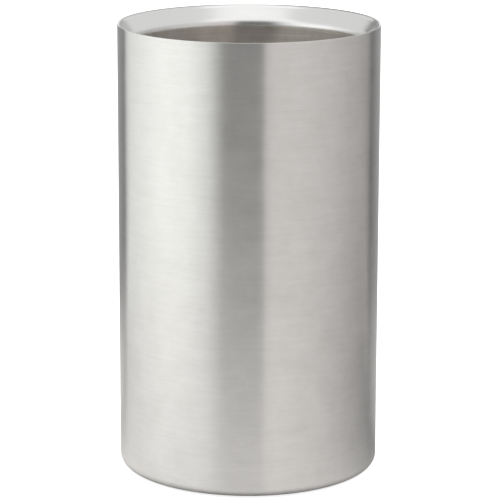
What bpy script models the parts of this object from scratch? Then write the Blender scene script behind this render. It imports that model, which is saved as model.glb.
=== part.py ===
"""Double-walled champagne cooler in brushed stainless steel.

A drawn inner cup hangs inside a straight outer shell. The two meet in a rounded
weld at the rim, a pressed plate closes the underside, and the cooler stands on a
silicone ring. Metres, +Z up, origin at the centre of the circle it stands on.
"""

import math

import bpy

# Overall size, sheet thickness, and the gap left between touching pieces
BODY_RADIUS = 0.05775
HEIGHT = 0.200
SHEET = 0.0006
GAP = 0.0003

# How round the pieces are
SEGMENTS = 60
PLUG_SEGMENTS = 24
ARC_ERROR = 0.00005
SHARP_ANGLE = math.radians(35)
MERGE = 0.00001

# Half-round rim and flared mouth
RIM_RADIUS = 0.00075
MOUTH_LIP = 0.0004
FLARE_DEPTH = 0.0076
FLARE_BEND = 0.0065

# Inner cup
LINER_RADIUS = 0.05175
LINER_FLOOR_Z = 0.012
LINER_CORNER = 0.008

# Outer shell's lower end, which stays clear of the table
BODY_CLEARANCE = 0.0008
SHELL_CORNER = 0.004
FLANGE_RADIUS = 0.0514
BEAD_EDGE = 0.00024

# Base plate
PLATE_SHEET = 0.0008
PLATE_RADIUS = 0.0500
RECESS_DEPTH = 0.0028
RECESS_RADIUS = 0.0438
RECESS_SLOPE = 0.0020
PRESSED_RADIUS = 0.0011
RIB_INNER = 0.0130
RIB_OUTER = 0.0190
RIB_HEIGHT = 0.0009
RIB_RUN = 0.0015
VENT_RADIUS = 0.0026

# Foot and its tape
FOOT_THICKNESS = 0.0024
FOOT_INNER = 0.0310
FOOT_OUTER = 0.0420
FOOT_EDGE = 0.0006
TAPE_THICKNESS = 0.0006
TAPE_INSET = 0.0005

# Foam ring under the cup
SUPPORT_INNER = 0.0230
SUPPORT_OUTER = 0.0380

# Vent plug
PLUG_STEM_RADIUS = VENT_RADIUS - GAP
PLUG_HEAD_RADIUS = 0.0048
PLUG_HEAD_HEIGHT = 0.0013
PLUG_BARB_RADIUS = 0.0032
PLUG_TIP_RADIUS = 0.0017
PLUG_BARB_HEIGHT = 0.0022
PLUG_HEAD_EDGE = 0.0008
PLUG_EDGE = 0.0003

# Levels worked out from the sizes above
RECESS_Z = BODY_CLEARANCE + RECESS_DEPTH
PLATE_TOP_Z = RECESS_Z + PLATE_SHEET
LIP_TOP_Z = HEIGHT - RIM_RADIUS - GAP
MOUTH_RADIUS = BODY_RADIUS - 2 * RIM_RADIUS


def clear_scene():
    """Remove every object, so that the script starts from an empty scene."""
    for old in list(bpy.data.objects):
        bpy.data.objects.remove(old, do_unlink=True)


def metal(name, colour, roughness):
    """A bare metal surface."""
    return surface(name, colour, roughness, 1.0)


def surface(name, colour, roughness, metallic=0.0):
    """A Principled material of one colour."""
    material = bpy.data.materials.new(name)
    material.use_nodes = True
    shader = material.node_tree.nodes["Principled BSDF"]
    shader.inputs["Base Color"].default_value = (*colour, 1.0)
    shader.inputs["Roughness"].default_value = roughness
    shader.inputs["Metallic"].default_value = metallic
    material.diffuse_color = (*colour, 1.0)
    return material


def arc_steps(radius, turn):
    """How many straight steps keep an arc within ARC_ERROR of a true one."""
    widest = 2 * math.acos(1 - ARC_ERROR / radius)
    return max(2, math.ceil(turn / widest))


def fillet(before, corner, after, radius):
    """Points of the arc that rounds a corner between two straight stretches."""
    to_before = (before[0] - corner[0], before[1] - corner[1])
    to_after = (after[0] - corner[0], after[1] - corner[1])
    angle_before = math.atan2(to_before[1], to_before[0])
    angle_after = math.atan2(to_after[1], to_after[0])
    opening = (angle_after - angle_before + math.pi) % (2 * math.pi) - math.pi
    bisector = angle_before + opening / 2
    to_centre = radius / math.sin(abs(opening) / 2)
    centre_r = corner[0] + to_centre * math.cos(bisector)
    centre_z = corner[1] + to_centre * math.sin(bisector)
    turn = math.copysign(math.pi - abs(opening), opening)
    start = bisector + math.pi + turn / 2
    steps = arc_steps(radius, abs(turn))
    points = []
    for step in range(steps + 1):
        angle = start - turn * step / steps
        points.append((centre_r + radius * math.cos(angle), centre_z + radius * math.sin(angle)))
    return points


def rounded(corners, closed=False):
    """Turn corners (r, z, fillet radius) into the points (r, z) of a profile."""
    count = len(corners)
    points = []
    for index, (r, z, radius) in enumerate(corners):
        at_end = index in (0, count - 1)
        if radius == 0 or (at_end and not closed):
            points.append((r, z))
            continue
        before = corners[index - 1][:2]
        after = corners[(index + 1) % count][:2]
        points.extend(fillet(before, (r, z), after, radius))
    return points


def turned(name, profile, height, material, closed=False, thickness=0.0, segments=SEGMENTS):
    """Turn a profile of (r, z) points round the Z axis through the piece's origin.

    A closed profile gives a solid ring. An open one is a sheet, which grows by its
    thickness to the side away from its face.
    """
    mesh = bpy.data.meshes.new(name)
    vertices = [(r, 0.0, z) for r, z in profile]
    edges = [(i, i + 1) for i in range(len(profile) - 1)]
    if closed:
        edges.append((len(profile) - 1, 0))
    mesh.from_pydata(vertices, edges, [])
    piece = bpy.data.objects.new(name, mesh)
    cooler.objects.link(piece)
    piece.parent = stand_point
    piece.location.z = height
    piece.data.materials.append(material)

    screw = piece.modifiers.new("Turn", "SCREW")
    screw.axis = "Z"
    screw.angle = 2 * math.pi
    screw.steps = segments
    screw.render_steps = segments
    screw.use_merge_vertices = True
    screw.merge_threshold = MERGE
    if thickness > 0:
        sheet = piece.modifiers.new("Sheet", "SOLIDIFY")
        sheet.thickness = thickness
        sheet.offset = -1.0
        sheet.use_even_offset = True
    settle(piece)
    return piece


def settle(piece):
    """Make the modified shape the piece's own mesh, smooth between its sharp edges."""
    evaluated = piece.evaluated_get(bpy.context.evaluated_depsgraph_get())
    mesh = bpy.data.meshes.new_from_object(evaluated)
    mesh.name = piece.name
    piece.modifiers.clear()
    piece.data = mesh
    mesh.shade_smooth()
    mesh.set_sharp_from_angle(angle=SHARP_ANGLE)


def make_outer_shell():
    """Straight tube whose lower edge turns in to a flat flange."""
    top = LIP_TOP_Z - BODY_CLEARANCE
    profile = rounded([
        (BODY_RADIUS, top, 0),
        (BODY_RADIUS, 0, SHELL_CORNER),
        (FLANGE_RADIUS, 0, 0),
    ])
    steel = metal("brushed_outer_steel", (0.66, 0.65, 0.63), 0.30)
    return turned("outer_shell", profile, BODY_CLEARANCE, steel, thickness=SHEET)


def make_inner_liner():
    """Deep cup with a rounded floor edge and a mouth that flares out to the rim."""
    lip = LIP_TOP_Z - LINER_FLOOR_Z
    flare_start = lip - MOUTH_LIP
    flare_end = HEIGHT - FLARE_DEPTH - LINER_FLOOR_Z
    profile = rounded([
        (0, 0, 0),
        (LINER_RADIUS, 0, LINER_CORNER),
        (LINER_RADIUS, flare_end, FLARE_BEND),
        (MOUTH_RADIUS, flare_start, 0),
        (MOUTH_RADIUS, lip, 0),
    ])
    steel = metal("polished_liner_steel", (0.62, 0.60, 0.57), 0.22)
    return turned("inner_liner", profile, LINER_FLOOR_Z, steel, thickness=SHEET)


def make_rim_weld():
    """Half-round bead over the shell's top edge and the liner's lip."""
    steps = 2 * arc_steps(RIM_RADIUS, math.pi / 2)
    profile = []
    for step in range(steps + 1):
        angle = math.pi * (1 - step / steps)
        r = BODY_RADIUS - RIM_RADIUS + RIM_RADIUS * math.cos(angle)
        profile.append((r, RIM_RADIUS * math.sin(angle)))
    steel = metal("polished_rim_steel", (0.72, 0.71, 0.69), 0.12)
    return turned("rim_weld", profile, HEIGHT - RIM_RADIUS, steel, closed=True)


def make_base_plate():
    """Pressed disc: vent hole, stiffening rib, raised recess and a flat edge to weld."""
    profile = rounded([
        (PLATE_RADIUS, 0, 0),
        (RECESS_RADIUS + RECESS_SLOPE, 0, PRESSED_RADIUS),
        (RECESS_RADIUS, RECESS_DEPTH, PRESSED_RADIUS),
        (RIB_OUTER, RECESS_DEPTH, PRESSED_RADIUS),
        (RIB_OUTER - RIB_RUN, RECESS_DEPTH + RIB_HEIGHT, PRESSED_RADIUS),
        (RIB_INNER + RIB_RUN, RECESS_DEPTH + RIB_HEIGHT, PRESSED_RADIUS),
        (RIB_INNER, RECESS_DEPTH, PRESSED_RADIUS),
        (VENT_RADIUS, RECESS_DEPTH, 0),
    ])
    steel = metal("dull_plate_steel", (0.58, 0.57, 0.56), 0.38)
    return turned("base_plate", profile, BODY_CLEARANCE, steel, thickness=PLATE_SHEET)


def make_base_weld():
    """Low bead in the seam between the shell's flange and the base plate."""
    inner = PLATE_RADIUS + GAP
    outer = FLANGE_RADIUS - GAP
    half = (outer - inner) / 2
    profile = rounded([
        (outer, SHEET + half, 0),
        (outer, 0, BEAD_EDGE),
        (inner, 0, BEAD_EDGE),
        (inner, SHEET + half, 0),
    ], closed=True)
    steel = metal("heat_tinted_weld_steel", (0.50, 0.47, 0.43), 0.42)
    return turned("base_weld", profile, BODY_CLEARANCE - half / 2, steel, closed=True)


def ring_profile(inner, outer, thickness, edge=0):
    """Closed outline of a flat ring, standing on z = 0, with its lower edges rounded."""
    return rounded([
        (outer, thickness, 0),
        (outer, 0, edge),
        (inner, 0, edge),
        (inner, thickness, 0),
    ], closed=True)


def make_foot_ring():
    """Silicone ring that the cooler stands on."""
    profile = ring_profile(FOOT_INNER, FOOT_OUTER, FOOT_THICKNESS, FOOT_EDGE)
    silicone = surface("grey_silicone", (0.05, 0.05, 0.055), 0.62)
    return turned("foot_ring", profile, 0, silicone, closed=True)


def make_foot_tape():
    """Foam tape between the silicone ring and the base plate."""
    profile = ring_profile(FOOT_INNER + TAPE_INSET, FOOT_OUTER - TAPE_INSET, TAPE_THICKNESS)
    tape = surface("white_foam_tape", (0.80, 0.79, 0.75), 0.80)
    return turned("foot_tape", profile, FOOT_THICKNESS + GAP, tape, closed=True)


def make_liner_support():
    """Closed-cell foam ring that carries the cup's floor on the base plate."""
    bottom = PLATE_TOP_Z + GAP
    thickness = LINER_FLOOR_Z - SHEET - GAP - bottom
    profile = ring_profile(SUPPORT_INNER, SUPPORT_OUTER, thickness)
    foam = surface("charcoal_foam", (0.12, 0.12, 0.13), 0.90)
    return turned("liner_support", profile, bottom, foam, closed=True)


def make_vent_plug():
    """Silicone mushroom plug pushed up through the vent hole."""
    neck = PLATE_SHEET + 2 * GAP
    profile = rounded([
        (0, neck + PLUG_BARB_HEIGHT, 0),
        (PLUG_TIP_RADIUS, neck + PLUG_BARB_HEIGHT, PLUG_EDGE),
        (PLUG_BARB_RADIUS, neck, PLUG_EDGE),
        (PLUG_STEM_RADIUS, neck, 0),
        (PLUG_STEM_RADIUS, 0, 0),
        (PLUG_HEAD_RADIUS, 0, PLUG_EDGE),
        (PLUG_HEAD_RADIUS, -PLUG_HEAD_HEIGHT, PLUG_HEAD_EDGE),
        (0, -PLUG_HEAD_HEIGHT, 0),
    ])
    silicone = surface("plug_silicone", (0.07, 0.07, 0.07), 0.55)
    return turned("vent_plug", profile, RECESS_Z - GAP, silicone, segments=PLUG_SEGMENTS)


clear_scene()
cooler = bpy.data.collections.new("champagne_cooler")
bpy.context.scene.collection.children.link(cooler)
stand_point = bpy.data.objects.new("stand_point", None)
cooler.objects.link(stand_point)

make_outer_shell()
make_inner_liner()
make_rim_weld()
make_base_plate()
make_base_weld()
make_foot_ring()
make_foot_tape()
make_liner_support()
make_vent_plug()
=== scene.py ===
"""Looks for the double-walled champagne cooler: fine turned meshes and steel finishes.

Every piece is turned again round the same axis as its CAD node, with more steps, real
edge roundings and the small marks of forming and welding. Metres, +Z up.
"""

import math

import bmesh
import bpy
from mathutils import Matrix, Vector, noise


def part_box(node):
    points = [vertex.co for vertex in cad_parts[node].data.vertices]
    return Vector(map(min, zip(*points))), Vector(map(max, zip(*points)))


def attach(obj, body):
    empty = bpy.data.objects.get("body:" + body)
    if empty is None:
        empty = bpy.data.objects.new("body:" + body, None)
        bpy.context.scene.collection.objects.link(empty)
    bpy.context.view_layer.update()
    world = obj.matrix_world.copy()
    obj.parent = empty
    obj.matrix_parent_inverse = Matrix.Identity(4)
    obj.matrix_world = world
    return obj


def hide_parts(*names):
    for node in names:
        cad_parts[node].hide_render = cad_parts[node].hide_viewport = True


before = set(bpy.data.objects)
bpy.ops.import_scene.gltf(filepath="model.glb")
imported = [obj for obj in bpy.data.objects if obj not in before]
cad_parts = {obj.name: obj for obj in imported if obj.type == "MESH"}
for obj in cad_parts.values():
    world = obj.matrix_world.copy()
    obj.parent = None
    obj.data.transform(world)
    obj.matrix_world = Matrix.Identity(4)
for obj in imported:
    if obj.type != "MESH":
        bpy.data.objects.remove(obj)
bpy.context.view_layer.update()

# ---------------------------------------------------------------- sizes from the frame
shell_low, shell_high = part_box("outer_shell")
liner_low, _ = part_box("inner_liner")
_, rim_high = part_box("rim_weld")
plate_low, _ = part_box("base_plate")
bead_low, bead_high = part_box("base_weld")
foot_low, foot_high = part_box("foot_ring")
_, tape_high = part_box("foot_tape")
_, foam_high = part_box("liner_support")
plug_low, plug_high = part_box("vent_plug")

BODY_RADIUS = shell_high.x
TOP = rim_high.z
BODY_BOTTOM = shell_low.z
SHEET = 0.0006

# Rim, ground to a slope with a narrow land along its outer edge
RIM_WIDTH = 0.0015
RIM_GROUND = 0.0014
RIM_SEAM = TOP - RIM_GROUND
MOUTH_RADIUS = BODY_RADIUS - RIM_WIDTH
RIM_EDGE = 0.00016
RIM_LAND = 0.00095
RIM_LAND_DROP = 0.00045

# Walls: rounded lower corner, the cup's wall and floor, and the flare at the mouth
SHELL_CORNER = 0.004
LINER_RADIUS = 0.05175
LINER_FLOOR = liner_low.z + SHEET
LINER_CORNER = 0.008
FLARE_CORNER = 0.0073
FLARE_BEND = 0.0068
FLARE_POLISH = 0.0015
WAVE_DEPTH = 0.00002

# Base plate, as pressed
PLATE_SHEET = 0.0008
RECESS_DEPTH = 0.0028
RECESS_RADIUS = 0.0438
RECESS_SLOPE = 0.0020
PRESSED_RADIUS = 0.0011
RIB_INNER = 0.0130
RIB_OUTER = 0.0190
RIB_HEIGHT = 0.0009
RIB_RUN = 0.0015
VENT_RADIUS = 0.0026

# Weld bead in the base seam
BEAD_INNER = 0.0503
BEAD_EDGE = 0.00024
WELD_SCALES = 220
WELD_SCALE_DEPTH = 0.00012

# Foot, tape and foam
FOOT_INNER = 0.0310
FOOT_EDGE = 0.0006
FOOT_GROOVES = 3
GROOVE_WIDTH = 0.0007
GROOVE_DEPTH = 0.0005
GROOVE_EDGE = 0.0002
TAPE_EDGE = 0.00015
FOAM_INNER = 0.0230
FOAM_EDGE = 0.0004

# Vent plug
PLUG_STEM_RADIUS = 0.0025
PLUG_BARB_RADIUS = 0.0032
PLUG_TIP_RADIUS = 0.0017
PLUG_RING_RADIUS = 0.0036
PLUG_RING_DEPTH = 0.0003
PLUG_NUB_RADIUS = 0.0013
PLUG_EDGE = 0.0002
PLUG_HEAD_EDGE = 0.0005

# Steps round the axis, and the hairline left where two pieces meet
WALL_STEPS = 192
SEAM_GAP = 0.00002
END_GUARD = 0.0003
CREASE = math.radians(50)

# Camera: a long lens, a little above the mouth, with a slight roll
LENS = 189.3
SHIFT_X = 0.0029
CAMERA_PLACE = (0.0, -1.1413, 0.3701)
CAMERA_PITCH = math.radians(13.42)
CAMERA_ROLL = math.radians(0.145)

# Studio. Each stop is an azimuth in degrees from -Y toward +X, a level and a tint.
NEUTRAL = (1.0, 1.0, 1.0)
COOL = (0.985, 1.0, 0.98)
TABLE_TINT = (1.0, 0.975, 0.965)
WARM = (1.0, 0.958, 0.945)
DOME_STOPS = [
    (-180, 0.34, NEUTRAL),
    (-168, 0.26, NEUTRAL),
    (-152, 0.17, NEUTRAL),
    (-137.5, 0.085, NEUTRAL),
    (-134.5, 0.55, COOL),
    (-111, 0.66, COOL),
    (-80, 0.81, COOL),
    (-55, 0.75, COOL),
    (-37, 0.53, COOL),
    (-22, 0.12, COOL),
    (-14, 0.09, COOL),
    (11.5, 0.09, COOL),
    (15.5, 0.385, WARM),
    (26, 0.435, WARM),
    (60, 0.435, WARM),
    (80, 0.385, WARM),
    (103, 0.31, WARM),
    (128, 0.22, WARM),
    (133, 0.05, NEUTRAL),
    (150, 0.16, NEUTRAL),
    (180, 0.34, NEUTRAL),
]
# Painted shade on the table top: lighter to the left, darker to the right and behind, where the cooler's
# shadow falls.
TABLE_PAINTED_SHADE_STOPS = [
    (-180, 0.60, TABLE_TINT),
    (-140, 0.67, TABLE_TINT),
    (-125, 0.53, TABLE_TINT),
    (-95, 0.73, TABLE_TINT),
    (-60, 0.78, TABLE_TINT),
    (-42, 0.73, TABLE_TINT),
    (-15, 0.75, TABLE_TINT),
    (16, 0.73, TABLE_TINT),
    (50, 0.59, TABLE_TINT),
    (80, 0.37, TABLE_TINT),
    (110, 0.20, TABLE_TINT),
    (128, 0.36, TABLE_TINT),
    (142, 0.46, TABLE_TINT),
    (180, 0.60, TABLE_TINT),
]
CEILING_STOPS = [
    (-180, 0.60, NEUTRAL),
    (-174, 0.52, NEUTRAL),
    (-166, 0.18, NEUTRAL),
    (-154, 0.12, NEUTRAL),
    (-148, 0.47, NEUTRAL),
    (-65, 0.50, NEUTRAL),
    (-50, 0.68, NEUTRAL),
    (0, 0.70, NEUTRAL),
    (45, 0.68, NEUTRAL),
    (60, 0.50, NEUTRAL),
    (150, 0.48, NEUTRAL),
    (157, 0.28, NEUTRAL),
    (167, 0.26, NEUTRAL),
    (174, 0.52, NEUTRAL),
    (180, 0.60, NEUTRAL),
]
CEILING_TILT = (0.0, 0.3, 1.0)
CEILING_START = 0.28
CEILING_FULL = 0.42
DOME_STRENGTH = 2.0

# Floor and backdrop. The table top has a painted contact shadow under the cooler, out to SHADE_END.
FLOOR_SIZE = 12
FLOOR_GLOW = 0.75
BACKDROP_RADIUS = 12.0
TABLE_RADIUS = 0.30
SHADE_START = 0.056
SHADE_END = 0.062
SHADE = (0.16, 0.16, 0.16, 1.0)


# ---------------------------------------------------------------- camera
def add_camera():
    """The main view, from a little above the mouth."""
    data = bpy.data.cameras.new("photo_camera")
    data.sensor_width = 36.0
    data.lens = LENS
    data.shift_x = SHIFT_X
    data.clip_start = 0.05
    data.clip_end = 30.0
    camera = bpy.data.objects.new("photo_camera", data)
    bpy.context.scene.collection.objects.link(camera)
    camera.location = CAMERA_PLACE
    pitch = Matrix.Rotation(math.pi / 2 - CAMERA_PITCH, 3, "X")
    tilt = pitch @ Matrix.Rotation(CAMERA_ROLL, 3, "Z")
    camera.rotation_euler = tilt.to_euler()
    bpy.context.scene.camera = camera


# ---------------------------------------------------------------- profiles
def fillet(before, corner, after, radius, steps):
    """Points of the arc that rounds a corner between two straight stretches."""
    to_before = Vector(before) - Vector(corner)
    to_after = Vector(after) - Vector(corner)
    angle_before = math.atan2(to_before.y, to_before.x)
    angle_after = math.atan2(to_after.y, to_after.x)
    opening = (angle_after - angle_before + math.pi) % (2 * math.pi) - math.pi
    bisector = angle_before + opening / 2
    to_centre = radius / math.sin(abs(opening) / 2)
    centre = Vector(corner) + Vector((math.cos(bisector), math.sin(bisector))) * to_centre
    turn = math.copysign(math.pi - abs(opening), opening)
    start = bisector + math.pi + turn / 2
    points = []
    for step in range(steps + 1):
        angle = start - turn * step / steps
        points.append((centre.x + radius * math.cos(angle), centre.y + radius * math.sin(angle)))
    return points


def rounded(corners, closed=False, steps=8):
    """Turn corners (r, z, fillet radius) into the points (r, z) of a profile."""
    count = len(corners)
    points = []
    for index, (r, z, radius) in enumerate(corners):
        at_end = index in (0, count - 1)
        if radius == 0 or (at_end and not closed):
            points.append((r, z))
            continue
        before = corners[index - 1][:2]
        after = corners[(index + 1) % count][:2]
        points.extend(fillet(before, (r, z), after, radius, steps))
    return points


def divided(profile, longest):
    """Add points along the long straight stretches of a profile, and close to their ends."""
    points = [profile[0]]
    for start, end in zip(profile, profile[1:]):
        length = math.dist(start, end)
        shares = []
        if length > 4 * END_GUARD:
            pieces = math.ceil(length / longest)
            shares = [END_GUARD / length]
            shares += [piece / pieces for piece in range(1, pieces)]
            shares += [1 - END_GUARD / length]
        for share in shares + [1]:
            r = start[0] + (end[0] - start[0]) * share
            z = start[1] + (end[1] - start[1]) * share
            points.append((r, z))
    return points


# ---------------------------------------------------------------- turned meshes
def lathe(name, profile, closed=False, segments=WALL_STEPS, shape=None):
    """Turn a profile of (r, z) points round Z. shape(r, z, angle) may move a point."""
    mesh = bpy.data.meshes.new(name)
    work = bmesh.new()
    rings = []
    for r, z in profile:
        if r < 1e-7:
            rings.append([work.verts.new((0, 0, z))])
            continue
        ring = []
        for step in range(segments):
            angle = 2 * math.pi * step / segments
            point = shape(r, z, angle) if shape else (r, z)
            place_at = (point[0] * math.cos(angle), point[0] * math.sin(angle), point[1])
            ring.append(work.verts.new(place_at))
        rings.append(ring)
    pairs = list(zip(rings, rings[1:]))
    if closed:
        pairs.append((rings[-1], rings[0]))
    for upper, lower in pairs:
        for step in range(segments):
            following = (step + 1) % segments
            if len(upper) == 1:
                corners = (upper[0], lower[step], lower[following])
            elif len(lower) == 1:
                corners = (upper[step], lower[0], upper[following])
            else:
                corners = (upper[step], lower[step], lower[following], upper[following])
            work.faces.new(corners)
    work.to_mesh(mesh)
    work.free()
    mesh.shade_smooth()
    piece = bpy.data.objects.new(name, mesh)
    bpy.context.scene.collection.objects.link(piece)
    return piece


def thicken(piece, thickness):
    """Give a turned sheet its thickness, away from its face, with crisp cut edges."""
    sheet = piece.modifiers.new("Sheet", "SOLIDIFY")
    sheet.thickness = thickness
    sheet.offset = -1.0
    sheet.use_even_offset = True
    thin = piece.data
    graph = bpy.context.evaluated_depsgraph_get()
    thick = bpy.data.meshes.new_from_object(piece.evaluated_get(graph))
    piece.modifiers.clear()
    piece.data = thick
    bpy.data.meshes.remove(thin)
    thick.name = piece.name
    thick.set_sharp_from_angle(angle=CREASE)


def place(piece, node, slot, *materials):
    """Let a piece stand for its CAD node, with its finish."""
    for material in materials:
        piece.data.materials.append(material)
    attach(piece, "root")
    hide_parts(node)


# ---------------------------------------------------------------- materials
class Nodes:
    """Short calls for building a material's node tree."""

    def __init__(self, name):
        self.material = bpy.data.materials.new(name)
        self.material.use_nodes = True
        self.tree = self.material.node_tree
        self.shader = self.tree.nodes["Principled BSDF"]

    def link(self, source, target):
        self.tree.links.new(source, target)

    def math(self, operation, a, b):
        node = self.tree.nodes.new("ShaderNodeMath")
        node.operation = operation
        for socket, value in zip(node.inputs, (a, b)):
            if isinstance(value, (int, float)):
                socket.default_value = value
            else:
                self.link(value, socket)
        return node.outputs[0]

    def turned_coordinates(self, around, across):
        """Coordinates that change slowly round the axis and fast along the profile."""
        place_node = self.tree.nodes.new("ShaderNodeTexCoord")
        split = self.tree.nodes.new("ShaderNodeSeparateXYZ")
        self.link(place_node.outputs["Object"], split.inputs[0])
        x, y, z = split.outputs
        square = self.math("ADD", self.math("MULTIPLY", x, x), self.math("MULTIPLY", y, y))
        radius = self.math("SQRT", square, 0.0)
        along = self.math("ADD", radius, z)
        join = self.tree.nodes.new("ShaderNodeCombineXYZ")
        self.link(self.math("MULTIPLY", x, around), join.inputs[0])
        self.link(self.math("MULTIPLY", y, around), join.inputs[1])
        self.link(self.math("MULTIPLY", along, across), join.inputs[2])
        return join.outputs[0]

    def noise(self, coordinates, scale, detail=2.0, roughness=0.5):
        node = self.tree.nodes.new("ShaderNodeTexNoise")
        node.inputs["Scale"].default_value = scale
        node.inputs["Detail"].default_value = detail
        node.inputs["Roughness"].default_value = roughness
        self.link(coordinates, node.inputs["Vector"])
        return node.outputs["Fac"]

    def object_coordinates(self):
        node = self.tree.nodes.new("ShaderNodeTexCoord")
        return node.outputs["Object"]

    def remap(self, value, low, high):
        """Stretch a noise value of about 0.25 to 0.75 to the range low to high."""
        node = self.tree.nodes.new("ShaderNodeMapRange")
        node.inputs["From Min"].default_value = 0.25
        node.inputs["From Max"].default_value = 0.75
        node.inputs["To Min"].default_value = low
        node.inputs["To Max"].default_value = high
        self.link(value, node.inputs["Value"])
        return node.outputs["Result"]

    def bump(self, height, strength, distance):
        node = self.tree.nodes.new("ShaderNodeBump")
        node.inputs["Strength"].default_value = strength
        node.inputs["Distance"].default_value = distance
        self.link(height, node.inputs["Height"])
        self.link(node.outputs["Normal"], self.shader.inputs["Normal"])

    def mix_colour(self, share, first, second):
        node = self.tree.nodes.new("ShaderNodeMix")
        node.data_type = "RGBA"
        node.inputs["A"].default_value = (*first, 1.0)
        node.inputs["B"].default_value = (*second, 1.0)
        self.link(share, node.inputs["Factor"])
        return node.outputs["Result"]


def turned_steel(name, dark, light, roughness, spread, anisotropy, bump, contrast=0.6, stroke=1.0):
    """Steel with marks that run round the axis, and highlights stretched across them.

    The marks vary the colour between dark and light, and the roughness by spread. A larger
    stroke makes the marks longer.
    """
    nodes = Nodes(name)
    shader = nodes.shader
    shader.inputs["Metallic"].default_value = 1.0
    shader.inputs["Anisotropic"].default_value = anisotropy
    shader.inputs["Anisotropic Rotation"].default_value = 0.25
    tangent = nodes.tree.nodes.new("ShaderNodeTangent")
    tangent.direction_type = "RADIAL"
    tangent.axis = "Z"
    nodes.link(tangent.outputs["Tangent"], shader.inputs["Tangent"])

    fine = nodes.noise(nodes.turned_coordinates(140 / stroke, 4200), 1.0, detail=3.0)
    broad = nodes.noise(nodes.turned_coordinates(45 / stroke, 640), 1.0, detail=3.0)
    cloud = nodes.noise(nodes.object_coordinates(), 80.0, detail=4.0, roughness=0.65)
    streak = nodes.math("ADD", nodes.math("MULTIPLY", fine, 0.6), nodes.math("MULTIPLY", broad, 0.4))
    mixed = nodes.math("ADD", nodes.math("MULTIPLY", streak, 0.55), nodes.math("MULTIPLY", cloud, 0.45))
    share = nodes.remap(mixed, 0.5 - contrast / 2, 0.5 + contrast / 2)
    nodes.link(nodes.mix_colour(share, dark, light), shader.inputs["Base Color"])
    nodes.link(nodes.remap(mixed, roughness - spread, roughness + spread), shader.inputs["Roughness"])
    nodes.bump(streak, bump, 0.00002)
    return nodes.material


def pressed_steel():
    """Dull cold-rolled sheet with fine drawing marks and faint clouding."""
    nodes = Nodes("pressed_plate_steel")
    nodes.shader.inputs["Metallic"].default_value = 1.0
    rings = nodes.noise(nodes.turned_coordinates(20, 1600), 1.0, detail=2.0)
    cloud = nodes.noise(nodes.object_coordinates(), 90.0, detail=4.0)
    mixed = nodes.math("ADD", nodes.math("MULTIPLY", rings, 0.4), nodes.math("MULTIPLY", cloud, 0.6))
    colour = nodes.mix_colour(mixed, (0.47, 0.46, 0.45), (0.62, 0.61, 0.60))
    nodes.link(colour, nodes.shader.inputs["Base Color"])
    nodes.link(nodes.remap(mixed, 0.30, 0.46), nodes.shader.inputs["Roughness"])
    nodes.bump(rings, 0.15, 0.00003)
    return nodes.material


def tinted_weld():
    """Weld metal with straw and blue heat tint in patches."""
    nodes = Nodes("tinted_weld_steel")
    nodes.shader.inputs["Metallic"].default_value = 1.0
    patches = nodes.noise(nodes.object_coordinates(), 160.0, detail=2.0)
    ramp = nodes.tree.nodes.new("ShaderNodeValToRGB")
    ramp.color_ramp.elements[0].position = 0.35
    ramp.color_ramp.elements[0].color = (0.34, 0.37, 0.45, 1.0)
    ramp.color_ramp.elements[1].position = 0.65
    ramp.color_ramp.elements[1].color = (0.58, 0.48, 0.33, 1.0)
    straw = ramp.color_ramp.elements.new(0.5)
    straw.color = (0.50, 0.48, 0.45, 1.0)
    nodes.link(patches, ramp.inputs["Fac"])
    nodes.link(ramp.outputs["Color"], nodes.shader.inputs["Base Color"])
    nodes.link(nodes.remap(patches, 0.34, 0.50), nodes.shader.inputs["Roughness"])
    grain = nodes.noise(nodes.object_coordinates(), 4000.0, detail=1.0)
    nodes.bump(grain, 0.2, 0.00003)
    return nodes.material


def silicone(name, colour, roughness):
    """Matt moulded silicone with a fine grain and a little dust in its tone."""
    nodes = Nodes(name)
    dust = nodes.noise(nodes.object_coordinates(), 320.0, detail=5.0, roughness=0.65)
    lighter = tuple(channel * 1.5 for channel in colour)
    nodes.link(nodes.mix_colour(dust, colour, lighter), nodes.shader.inputs["Base Color"])
    nodes.link(nodes.remap(dust, roughness - 0.06, roughness + 0.06), nodes.shader.inputs["Roughness"])
    nodes.shader.inputs["Specular IOR Level"].default_value = 0.4
    grain = nodes.noise(nodes.object_coordinates(), 6500.0, detail=2.0)
    nodes.bump(grain, 0.25, 0.00004)
    return nodes.material


def foam(name, dark, light, cells):
    """Closed-cell foam: small cells in its surface and its tone."""
    nodes = Nodes(name)
    cell = nodes.tree.nodes.new("ShaderNodeTexVoronoi")
    cell.inputs["Scale"].default_value = cells
    nodes.link(nodes.object_coordinates(), cell.inputs["Vector"])
    nodes.link(nodes.mix_colour(cell.outputs["Distance"], dark, light), nodes.shader.inputs["Base Color"])
    nodes.link(nodes.remap(cell.outputs["Distance"], 0.82, 0.95), nodes.shader.inputs["Roughness"])
    nodes.shader.inputs["Specular IOR Level"].default_value = 0.25
    nodes.bump(cell.outputs["Distance"], 0.5, 0.0002)
    return nodes.material


# ---------------------------------------------------------------- pieces
def wall_wave(r, z, angle):
    """The slight unevenness of thin sheet, always inward."""
    across = Vector((math.cos(angle) * 1.6, math.sin(angle) * 1.6, z * 16.0))
    return r - WAVE_DEPTH * (1 + noise.noise(across)), z


def make_outer_shell(brushed_steel):
    """Brushed tube with a rounded lower edge and an in-turned flange."""
    flange = bead_high.x + SEAM_GAP
    profile = rounded([
        (BODY_RADIUS, RIM_SEAM - SEAM_GAP, 0),
        (BODY_RADIUS, BODY_BOTTOM, SHELL_CORNER),
        (flange, BODY_BOTTOM, 0),
    ], steps=16)
    piece = lathe("outer_shell_sheet", divided(profile, 0.005), shape=wall_wave)
    thicken(piece, SHEET)
    place(piece, "outer_shell", "outer_steel", brushed_steel)


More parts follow.
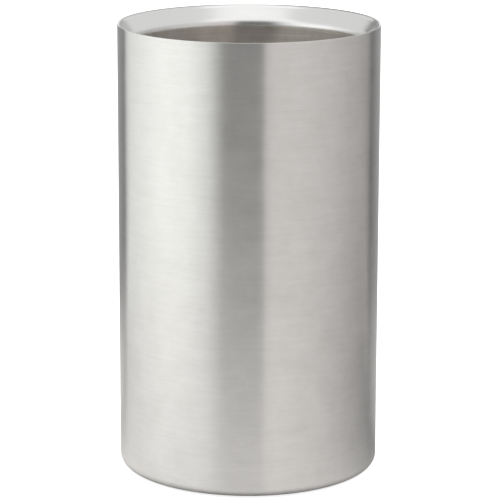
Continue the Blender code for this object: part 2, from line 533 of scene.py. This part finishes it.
def make_inner_liner():
    """Deep cup with a turned wall and a polished flared mouth."""
    profile = rounded([
        (0, LINER_FLOOR, 0),
        (LINER_RADIUS, LINER_FLOOR, LINER_CORNER),
        (LINER_RADIUS, TOP - FLARE_CORNER, FLARE_BEND),
        (MOUTH_RADIUS, RIM_SEAM - SEAM_GAP, 0),
    ], steps=16)
    piece = lathe("inner_liner_sheet", divided(profile, 0.006))
    thicken(piece, SHEET)
    wall = turned_steel(
        "turned_liner_steel", (0.35, 0.322, 0.29), (0.80, 0.755, 0.70),
        roughness=0.33, spread=0.05, anisotropy=1.0, bump=0.25, contrast=0.95, stroke=4.0,
    )
    flare = turned_steel(
        "polished_flare_steel", (0.64, 0.64, 0.635), (0.68, 0.68, 0.675),
        roughness=0.24, spread=0.02, anisotropy=0.5, bump=0.04,
    )
    place(piece, "inner_liner", "liner_steel", wall, flare)
    for face in piece.data.polygons:
        if face.center.z > TOP - FLARE_CORNER - FLARE_POLISH:
            face.material_index = 1


def make_rim_weld(brushed_steel):
    """Bead over both sheets: polished slope and land inside, brushed like the wall outside."""
    profile = rounded([
        (MOUTH_RADIUS, RIM_SEAM, 0),
        (BODY_RADIUS - RIM_LAND, TOP - RIM_LAND_DROP, RIM_EDGE),
        (BODY_RADIUS, TOP, RIM_EDGE),
        (BODY_RADIUS, RIM_SEAM, 0),
    ], steps=8)
    top = max(z for _, z in profile)
    profile = [(r, z if z == RIM_SEAM else z + TOP - top) for r, z in profile]
    piece = lathe("rim_weld_bead", profile, closed=True)
    piece.data.set_sharp_from_angle(angle=CREASE)
    steel = turned_steel(
        "polished_rim_steel", (0.65, 0.648, 0.64), (0.69, 0.688, 0.68),
        roughness=0.18, spread=0.02, anisotropy=0.3, bump=0.02,
    )
    place(piece, "rim_weld", "rim_steel", steel, brushed_steel)
    for face in piece.data.polygons:
        if math.hypot(face.normal.x, face.normal.y) > 0.999 and face.normal.dot(face.center) > 0:
            face.material_index = 1


def make_base_plate():
    """Pressed disc: flat edge to weld, raised recess, stiffening rib and vent hole."""
    bottom = plate_low.z
    recess = bottom + RECESS_DEPTH
    profile = rounded([
        (BEAD_INNER - SEAM_GAP, bottom, 0),
        (RECESS_RADIUS + RECESS_SLOPE, bottom, PRESSED_RADIUS),
        (RECESS_RADIUS, recess, PRESSED_RADIUS),
        (RIB_OUTER, recess, PRESSED_RADIUS),
        (RIB_OUTER - RIB_RUN, recess + RIB_HEIGHT, PRESSED_RADIUS),
        (RIB_INNER + RIB_RUN, recess + RIB_HEIGHT, PRESSED_RADIUS),
        (RIB_INNER, recess, PRESSED_RADIUS),
        (VENT_RADIUS, recess, 0),
    ], steps=6)
    piece = lathe("base_plate_disc", profile)
    thicken(piece, PLATE_SHEET)
    place(piece, "base_plate", "plate_steel", pressed_steel())


def weld_ripple(r, z, angle):
    """The overlapping scales that the weld pool leaves along a seam."""
    scale = 0.5 + 0.5 * math.cos(angle * WELD_SCALES)
    depth = WELD_SCALE_DEPTH * scale if z < bead_low.z + BEAD_EDGE else 0.0
    return r, z + depth


def make_base_weld():
    """Rippled bead in the seam between the flange and the base plate."""
    profile = rounded([
        (bead_high.x, bead_high.z, 0),
        (bead_high.x, bead_low.z, BEAD_EDGE),
        (BEAD_INNER, bead_low.z, BEAD_EDGE),
        (BEAD_INNER, bead_high.z, 0),
    ], closed=True, steps=3)
    piece = lathe("base_weld_bead", profile, closed=True, segments=WELD_SCALES * 4, shape=weld_ripple)
    place(piece, "base_weld", "weld_steel", tinted_weld())


def make_foot_ring():
    """Silicone ring with rounded edges and moulded grooves on its underside."""
    outer = foot_high.x
    inner = FOOT_INNER
    corners = [(outer, foot_high.z, FOOT_EDGE), (outer, foot_low.z, FOOT_EDGE)]
    pitch = (outer - inner) / (FOOT_GROOVES + 1)
    for groove in range(1, FOOT_GROOVES + 1):
        middle = outer - pitch * groove
        corners.append((middle + GROOVE_WIDTH, foot_low.z, GROOVE_EDGE))
        corners.append((middle, foot_low.z + GROOVE_DEPTH, GROOVE_EDGE))
        corners.append((middle - GROOVE_WIDTH, foot_low.z, GROOVE_EDGE))
    corners.extend([(inner, foot_low.z, FOOT_EDGE), (inner, foot_high.z, FOOT_EDGE)])
    piece = lathe("foot_ring_silicone", rounded(corners, closed=True, steps=5), closed=True)
    black = silicone("foot_silicone", (0.045, 0.045, 0.048), 0.60)
    place(piece, "foot_ring", "foot_silicone", black)


def make_foot_tape():
    """Foam tape that fills the space between the silicone ring and the base plate."""
    low = foot_high.z + SEAM_GAP
    high = plate_low.z + RECESS_DEPTH - SEAM_GAP
    inner = FOOT_INNER + (foot_high.x - tape_high.x)
    profile = rounded([
        (tape_high.x, high, TAPE_EDGE),
        (tape_high.x, low, TAPE_EDGE),
        (inner, low, TAPE_EDGE),
        (inner, high, TAPE_EDGE),
    ], closed=True, steps=3)
    piece = lathe("foot_tape_foam", profile, closed=True)
    pale_foam = foam("tape_foam", (0.72, 0.71, 0.66), (0.84, 0.83, 0.79), 2600)
    place(piece, "foot_tape", "tape", pale_foam)


def make_liner_support():
    """Die-cut foam ring that carries the cup on the base plate."""
    low = plate_low.z + RECESS_DEPTH + PLATE_SHEET + SEAM_GAP
    high = liner_low.z - SEAM_GAP
    profile = rounded([
        (foam_high.x, high, FOAM_EDGE),
        (foam_high.x, low, FOAM_EDGE),
        (FOAM_INNER, low, FOAM_EDGE),
        (FOAM_INNER, high, FOAM_EDGE),
    ], closed=True, steps=4)
    piece = lathe("liner_support_foam", divided(profile, 0.002), closed=True)
    dark_foam = foam("charcoal_foam", (0.035, 0.035, 0.04), (0.09, 0.09, 0.095), 900)
    place(piece, "liner_support", "foam", dark_foam)


def make_vent_plug():
    """Silicone mushroom plug: domed head with a moulded ring, stem, and tapered barb."""
    under = plate_low.z + RECESS_DEPTH - SEAM_GAP
    top = plate_low.z + RECESS_DEPTH + PLATE_SHEET + SEAM_GAP
    head = plug_low.z
    profile = rounded([
        (0, plug_high.z, 0),
        (PLUG_TIP_RADIUS, plug_high.z, PLUG_EDGE),
        (PLUG_BARB_RADIUS, top, PLUG_EDGE),
        (PLUG_STEM_RADIUS, top, 0),
        (PLUG_STEM_RADIUS, under, 0),
        (plug_high.x, under, PLUG_EDGE),
        (plug_high.x, head + PLUG_RING_DEPTH, PLUG_HEAD_EDGE),
        (PLUG_RING_RADIUS, head, PLUG_EDGE),
        (PLUG_RING_RADIUS - PLUG_RING_DEPTH, head + PLUG_RING_DEPTH, PLUG_EDGE),
        (PLUG_NUB_RADIUS, head + PLUG_RING_DEPTH, PLUG_EDGE),
        (PLUG_NUB_RADIUS - PLUG_RING_DEPTH, head, PLUG_EDGE / 2),
        (0, head, 0),
    ], steps=5)
    piece = lathe("vent_plug_silicone", profile, segments=64)
    place(piece, "vent_plug", "plug_silicone", silicone("plug_silicone", (0.06, 0.06, 0.06), 0.52))


# ---------------------------------------------------------------- studio
def glowing(name, strength):
    """A plain white shadeless material."""
    nodes = Nodes(name)
    nodes.shader.inputs["Base Color"].default_value = (0.0, 0.0, 0.0, 1.0)
    nodes.shader.inputs["Specular IOR Level"].default_value = 0.0
    nodes.shader.inputs["Emission Color"].default_value = (1.0, 1.0, 1.0, 1.0)
    nodes.shader.inputs["Emission Strength"].default_value = strength
    return nodes.material


def azimuth_ramp(tree, coordinates, stops):
    """Colour that depends only on the direction round the axis, from the camera's side toward +X."""
    split = tree.nodes.new("ShaderNodeSeparateXYZ")
    tree.links.new(coordinates, split.inputs[0])
    back = tree.nodes.new("ShaderNodeMath")
    back.operation = "MULTIPLY"
    back.inputs[1].default_value = -1.0
    tree.links.new(split.outputs[1], back.inputs[0])
    azimuth = tree.nodes.new("ShaderNodeMath")
    azimuth.operation = "ARCTAN2"
    tree.links.new(split.outputs[0], azimuth.inputs[0])
    tree.links.new(back.outputs[0], azimuth.inputs[1])
    share = tree.nodes.new("ShaderNodeMapRange")
    share.inputs["From Min"].default_value = -math.pi
    share.inputs["From Max"].default_value = math.pi
    tree.links.new(azimuth.outputs[0], share.inputs["Value"])
    ramp = tree.nodes.new("ShaderNodeValToRGB")
    elements = ramp.color_ramp.elements
    while len(elements) < len(stops):
        elements.new(0.5)
    for element, (degrees, level, tint) in zip(elements, stops):
        element.position = degrees / 360 + 0.5
        element.color = (level * tint[0], level * tint[1], level * tint[2], 1.0)
    tree.links.new(share.outputs[0], ramp.inputs["Fac"])
    return ramp.outputs[0]


def add_floor():
    """Plain pale floor for the camera, and the table top that only the steel reflects, with painted shade
    by direction round the cooler and a painted contact shadow under it.
    """
    bpy.ops.mesh.primitive_plane_add(size=FLOOR_SIZE, location=(0, 0, 0))
    floor = bpy.context.object
    floor.name = "floor"
    nodes = Nodes("pale_floor")
    nodes.shader.inputs["Base Color"].default_value = (0.90, 0.90, 0.90, 1.0)
    nodes.shader.inputs["Roughness"].default_value = 0.9
    nodes.shader.inputs["Specular IOR Level"].default_value = 0.2
    nodes.shader.inputs["Emission Color"].default_value = (1.0, 1.0, 1.0, 1.0)
    nodes.shader.inputs["Emission Strength"].default_value = FLOOR_GLOW
    floor.data.materials.append(nodes.material)
    floor.visible_glossy = False
    floor.visible_shadow = False

    bpy.ops.mesh.primitive_circle_add(
        vertices=96, radius=TABLE_RADIUS, fill_type="NGON", location=(0, 0, 0)
    )
    table = bpy.context.object
    table.name = "table_top"
    nodes = Nodes("table_painted_shade")
    place_output = nodes.object_coordinates()
    length = nodes.tree.nodes.new("ShaderNodeVectorMath")
    length.operation = "LENGTH"
    nodes.link(place_output, length.inputs[0])
    # Painted contact shadow: the table top's colour goes to SHADE under the cooler and back to its stops
    # between SHADE_START and SHADE_END.
    lit = nodes.tree.nodes.new("ShaderNodeMapRange")
    lit.inputs["From Min"].default_value = SHADE_START
    lit.inputs["From Max"].default_value = SHADE_END
    nodes.link(length.outputs["Value"], lit.inputs["Value"])
    shade = nodes.tree.nodes.new("ShaderNodeMix")
    shade.data_type = "RGBA"
    shade.inputs["A"].default_value = SHADE
    nodes.link(lit.outputs[0], shade.inputs["Factor"])
    # Painted shade by direction round the cooler, from the table's stops.
    nodes.link(azimuth_ramp(nodes.tree, place_output, TABLE_PAINTED_SHADE_STOPS), shade.inputs["B"])
    nodes.link(shade.outputs["Result"], nodes.shader.inputs["Base Color"])
    nodes.shader.inputs["Roughness"].default_value = 0.9
    nodes.shader.inputs["Specular IOR Level"].default_value = 0.2
    table.data.materials.append(nodes.material)
    table.visible_camera = False
    table.visible_diffuse = False


def add_backdrop():
    """White surroundings for the camera alone, so that every view has a plain background."""
    bpy.ops.mesh.primitive_uv_sphere_add(
        segments=48, ring_count=24, radius=BACKDROP_RADIUS, location=(0, 0, 0)
    )
    backdrop = bpy.context.object
    backdrop.name = "backdrop"
    backdrop.data.materials.append(glowing("white_backdrop", 1.0))
    backdrop.visible_diffuse = False
    backdrop.visible_glossy = False
    backdrop.visible_transmission = False
    backdrop.visible_shadow = False


def add_dome():
    """Soft studio surroundings: low panels left and right, dark between them, and a pale ceiling."""
    world = bpy.data.worlds.new("studio")
    bpy.context.scene.world = world
    world.use_nodes = True
    tree = world.node_tree
    background = tree.nodes["Background"]
    directions = tree.nodes.new("ShaderNodeTexCoord").outputs["Generated"]
    slope = tree.nodes.new("ShaderNodeVectorMath")
    slope.operation = "DOT_PRODUCT"
    slope.inputs[1].default_value = CEILING_TILT
    tree.links.new(directions, slope.inputs[0])
    share = tree.nodes.new("ShaderNodeMapRange")
    share.interpolation_type = "SMOOTHSTEP"
    share.inputs["From Min"].default_value = CEILING_START
    share.inputs["From Max"].default_value = CEILING_FULL
    tree.links.new(slope.outputs["Value"], share.inputs["Value"])
    blend = tree.nodes.new("ShaderNodeMix")
    blend.data_type = "RGBA"
    tree.links.new(share.outputs[0], blend.inputs["Factor"])
    tree.links.new(azimuth_ramp(tree, directions, DOME_STOPS), blend.inputs["A"])
    tree.links.new(azimuth_ramp(tree, directions, CEILING_STOPS), blend.inputs["B"])
    tree.links.new(blend.outputs["Result"], background.inputs["Color"])
    background.inputs["Strength"].default_value = DOME_STRENGTH


add_camera()
bpy.context.scene.view_settings.view_transform = "Standard"
wall_steel = turned_steel(
    "brushed_outer_steel", (0.51, 0.505, 0.49), (0.77, 0.765, 0.75),
    roughness=0.31, spread=0.035, anisotropy=1.0, bump=0.20,
)
make_outer_shell(wall_steel)
make_inner_liner()
make_rim_weld(wall_steel)
make_base_plate()
make_base_weld()
make_foot_ring()
make_foot_tape()
make_liner_support()
make_vent_plug()
add_floor()
add_backdrop()
add_dome()
